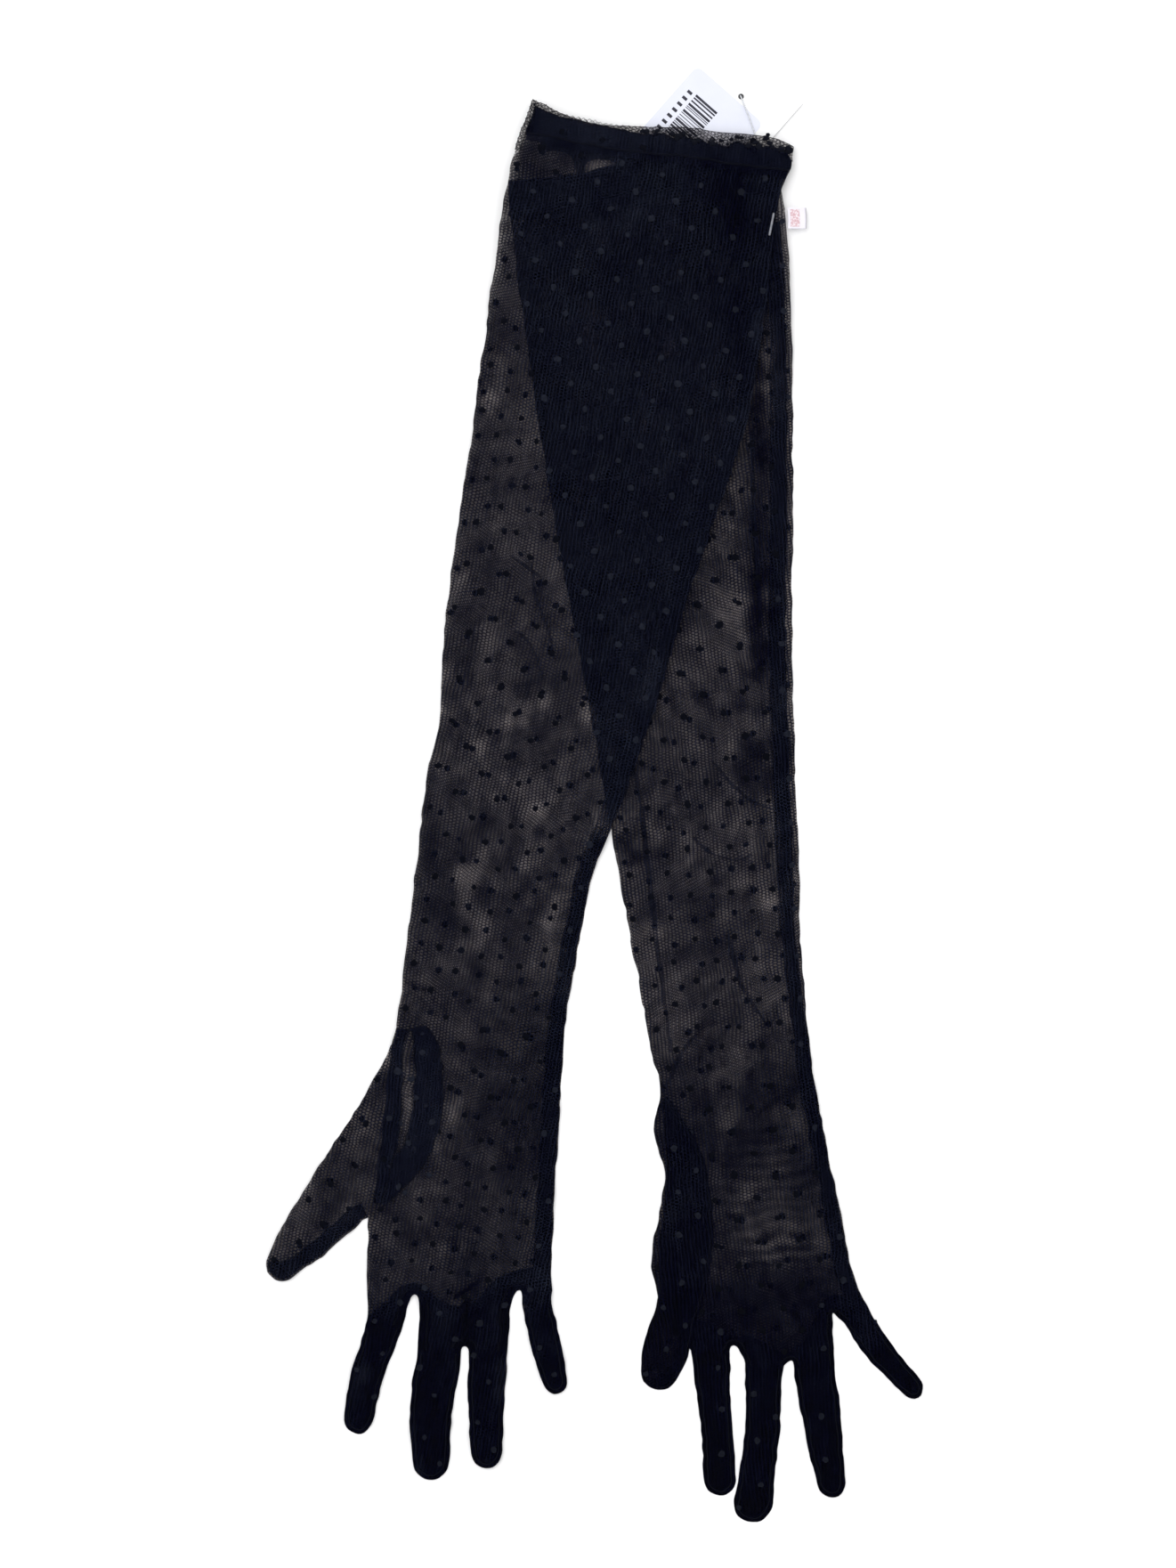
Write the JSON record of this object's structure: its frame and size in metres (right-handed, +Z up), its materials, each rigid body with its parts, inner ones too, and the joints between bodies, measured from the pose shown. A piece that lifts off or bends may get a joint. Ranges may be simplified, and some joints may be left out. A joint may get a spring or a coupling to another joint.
{
  "type": "opera gloves",
  "caption": "Sheer dotted-net opera gloves lying flat, one crossed over the other, joined at the cuffs by the swing tag's fastener.",
  "frame": {"origin": "middle of the pair's outline, on the surface that the gloves lie on", "axes": "+X towards the little fingers' side, +Y from the fingertips to the cuffs, +Z up from the surface"},
  "size_m": [0.2846, 0.6491, 0.0067],
  "materials": {
    "net": "sheer black point d'esprit net, matt, with small woven dots",
    "seam_net": "doubled black net at the seams and finger gussets",
    "hem": "turned and zigzag-stitched black net hem",
    "tag_card": "white coated card",
    "tag_sticker": null,
    "nylon": "translucent white nylon",
    "label_satin": "white satin ribbon with a pale woven check"
  },
  "bodies": {
    "lower_sleeve": {"lower_sleeve_back": "net", "lower_sleeve_palm": "net", "lower_cuff_hem": "hem", "lower_side_seam": "seam_net", "tag_filament": "nylon", "tag_t_bar": "nylon", "tag_paddle": "nylon"},
    "lower_hand": {"lower_hand_back": "net", "lower_hand_palm": "net", "lower_hand_seam": "seam_net"},
    "lower_thumb": {"lower_thumb_back": "net", "lower_thumb_palm": "net", "lower_thumb_seam": "seam_net"},
    "lower_index": {"lower_index_back": "net", "lower_index_palm": "net", "lower_index_fourchette": "seam_net"},
    "lower_middle": {"lower_middle_back": "net", "lower_middle_palm": "net", "lower_middle_fourchette": "seam_net"},
    "lower_ring": {"lower_ring_back": "net", "lower_ring_palm": "net", "lower_ring_fourchette": "seam_net"},
    "lower_little": {"lower_little_back": "net", "lower_little_palm": "net", "lower_little_fourchette": "seam_net"},
    "upper_sleeve": {"upper_sleeve_back": "net", "upper_sleeve_palm": "net", "upper_cuff_hem": "hem", "upper_side_seam": "seam_net"},
    "upper_hand": {"upper_hand_back": "net", "upper_hand_palm": "net", "upper_hand_seam": "seam_net", "upper_thumb_gusset": "seam_net"},
    "upper_thumb": {"upper_thumb_back": "net", "upper_thumb_palm": "net", "upper_thumb_seam": "seam_net"},
    "upper_index": {"upper_index_back": "net", "upper_index_palm": "net", "upper_index_fourchette": "seam_net"},
    "upper_middle": {"upper_middle_back": "net", "upper_middle_palm": "net", "upper_middle_fourchette": "seam_net"},
    "upper_ring": {"upper_ring_back": "net", "upper_ring_palm": "net", "upper_ring_fourchette": "seam_net"},
    "upper_little": {"upper_little_back": "net", "upper_little_palm": "net", "upper_little_fourchette": "seam_net"},
    "tag": {"tag_card": "tag_card", "tag_sticker": "tag_sticker"},
    "label": {"care_label": "label_satin"}
  },
  "joints": [
    {"name": "upper_glove_swing", "type": "hinge", "parent": "lower_sleeve", "child": "upper_sleeve", "pos_m": [0.076, 0.236, 0.0044], "axis": [0, 0, 1], "range_deg": [-20, 0]},
    {"name": "lower_wrist_fold", "type": "hinge", "parent": "lower_sleeve", "child": "lower_hand", "pos_m": [0.06, -0.125, 0.00125], "axis": [-1, 0, 0], "range_deg": [0, 90]},
    {"name": "upper_wrist_fold", "type": "hinge", "parent": "upper_sleeve", "child": "upper_hand", "pos_m": [-0.05, -0.109, 0.00125], "axis": [-1, 0, 0], "range_deg": [0, 90]},
    {"name": "lower_thumb_unfold", "type": "hinge", "parent": "lower_hand", "child": "lower_thumb", "pos_m": [0.025, -0.1985, 0.00125], "axis": [-0.0504, -0.9987, 0], "range_deg": [0, 170]},
    {"name": "upper_thumb_fold", "type": "hinge", "parent": "upper_hand", "child": "upper_thumb", "pos_m": [-0.09245, -0.1545, 0.00125], "axis": [0.1464, 0.9892, 0], "range_deg": [0, 90]},
    {"name": "lower_index_fold", "type": "hinge", "parent": "lower_hand", "child": "lower_index", "pos_m": [0.05, -0.25, 0.00125], "axis": [-1, 0, 0], "range_deg": [0, 90]},
    {"name": "lower_middle_fold", "type": "hinge", "parent": "lower_hand", "child": "lower_middle", "pos_m": [0.073, -0.257, 0.00125], "axis": [-1, 0, 0], "range_deg": [0, 90]},
    {"name": "lower_ring_fold", "type": "hinge", "parent": "lower_hand", "child": "lower_ring", "pos_m": [0.094, -0.257, 0.00125], "axis": [-1, 0, 0], "range_deg": [0, 90]},
    {"name": "lower_little_fold", "type": "hinge", "parent": "lower_hand", "child": "lower_little", "pos_m": [0.115, -0.238, 0.00125], "axis": [-1, 0, 0], "range_deg": [0, 90]},
    {"name": "upper_index_fold", "type": "hinge", "parent": "upper_hand", "child": "upper_index", "pos_m": [-0.091, -0.24, 0.00125], "axis": [-1, 0, 0], "range_deg": [0, 90]},
    {"name": "upper_middle_fold", "type": "hinge", "parent": "upper_hand", "child": "upper_middle", "pos_m": [-0.067, -0.25, 0.00125], "axis": [-1, 0, 0], "range_deg": [0, 90]},
    {"name": "upper_ring_fold", "type": "hinge", "parent": "upper_hand", "child": "upper_ring", "pos_m": [-0.0465, -0.25, 0.00125], "axis": [-1, 0, 0], "range_deg": [0, 90]},
    {"name": "upper_little_fold", "type": "hinge", "parent": "upper_hand", "child": "upper_little", "pos_m": [-0.0247, -0.23, 0.00125], "axis": [-1, 0, 0], "range_deg": [0, 90]},
    {"name": "tag_swing", "type": "hinge", "parent": "lower_sleeve", "child": "tag", "pos_m": [0.06305, 0.2919, 0.0009], "axis": [0, 0, 1], "range_deg": [-130, 0]},
    {"name": "label_flip", "type": "hinge", "parent": "lower_sleeve", "child": "label", "pos_m": [0.0831, 0.239, 0.00365], "axis": [0, -1, 0], "range_deg": [0, 90]}
  ]
}
